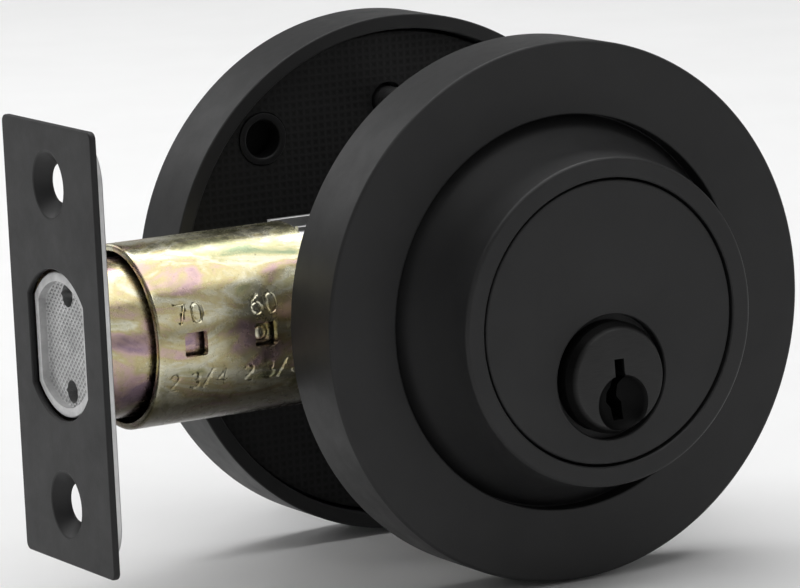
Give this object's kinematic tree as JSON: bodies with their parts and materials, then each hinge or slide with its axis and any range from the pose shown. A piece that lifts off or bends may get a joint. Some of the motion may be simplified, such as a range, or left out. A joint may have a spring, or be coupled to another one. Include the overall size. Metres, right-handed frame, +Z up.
{
  "type": "deadbolt door lock",
  "caption": "Single-cylinder tubular deadbolt with round rosettes, keyed cylinder, thumbturn, adjustable-backset latch tube and rectangular faceplate.",
  "frame": {"origin": "where the axis of the door's cross bore meets the bolt's centreline, midway between the two door faces", "axes": "+Y runs from the keyed exterior side to the interior side, -X points where the bolt is thrown, towards the door's edge, and +Z is up"},
  "size_m": [0.095, 0.0849, 0.07],
  "materials": {
    "black_paint": "satin black powder coat",
    "plug_metal": "dark plated plug face",
    "brass": "plain",
    "spring_steel": "plain",
    "zinc_plate": "clear zinc plating",
    "yellow_zinc": "yellow chromated zinc plating with a rainbow sheen",
    "steel": "plain",
    "black_screw": "black",
    "bolt_metal": "plated, with a dull end",
    "pad": "black, fine weave pattern",
    "nylon": "natural"
  },
  "bodies": {
    "lock": {"exterior_rosette": "black_paint", "cylinder_collar": "black_paint", "cylinder_body": "black_paint", "pin_chamber_cap": "brass", "driver_pins": "brass", "pin_springs": "spring_steel", "cylinder_snap_ring": "spring_steel", "exterior_bridge": "zinc_plate", "mounting_posts": "zinc_plate", "bridge_screws": "steel", "outer_tube": "yellow_zinc", "case_cheek_exterior": "zinc_plate", "case_cheek_interior": "zinc_plate", "case_rivets": "steel", "detent_spring": "spring_steel", "interior_rosette": "black_paint", "mounting_plate": "zinc_plate", "mounting_pad": "pad", "plate_eyelets": "brass", "tie_screws": "black_screw", "spindle_bushing": "nylon"},
    "key_plug_group": {"key_plug": "plug_metal", "key_pins": "brass", "plug_cap": "brass"},
    "tail": {"tailpiece": "zinc_plate"},
    "cam": {"cam_hub": "zinc_plate", "drive_pin": "steel"},
    "link": {"drive_link": "zinc_plate"},
    "front": {"faceplate": "black_paint", "backing_plate": "zinc_plate", "front_tube": "yellow_zinc"},
    "bolt_group": {"bolt": "bolt_metal", "bolt_cross_pin": "steel", "anti_saw_rods": "steel"},
    "turn": {"thumbturn": "black_paint", "spindle": "zinc_plate", "thumbturn_set_screw": "steel", "spindle_clip": "spring_steel", "wave_washer": "spring_steel"}
  },
  "joints": [
    {"name": "thumbturn_turn", "type": "hinge", "parent": "lock", "child": "turn", "pos_m": [0, 0, -0.007], "axis": [0, -1, 0], "range_deg": [0, 90]},
    {"name": "tailpiece_turn", "type": "hinge", "parent": "lock", "child": "tail", "pos_m": [0, 0, -0.007], "axis": [0, -1, 0], "range_deg": [0, 90]},
    {"name": "cam_turn", "type": "hinge", "parent": "lock", "child": "cam", "pos_m": [0, 0, -0.007], "axis": [0, -1, 0], "range_deg": [0, 90]},
    {"name": "link_slide", "type": "slide", "parent": "lock", "child": "link", "axis": [-1, 0, 0], "range_m": [0, 0.0254]},
    {"name": "backset_adjust", "type": "slide", "parent": "lock", "child": "front", "axis": [-1, 0, 0], "range_m": [0, 0.01]},
    {"name": "bolt_throw", "type": "slide", "parent": "front", "child": "bolt_group", "axis": [-1, 0, 0], "range_m": [0, 0.0254]},
    {"name": "key_turn", "type": "hinge", "parent": "lock", "child": "key_plug_group", "pos_m": [0, 0, -0.007], "axis": [0, -1, 0], "range_deg": [-90, 90]}
  ],
  "couplings": [
    {"joint": "tailpiece_turn", "follows": "thumbturn_turn", "ratio": 1},
    {"joint": "cam_turn", "follows": "thumbturn_turn", "ratio": 1},
    {"joint": "link_slide", "follows": "thumbturn_turn", "m_per_rad": 0.01617},
    {"joint": "bolt_throw", "follows": "thumbturn_turn", "m_per_rad": 0.01617}
  ]
}
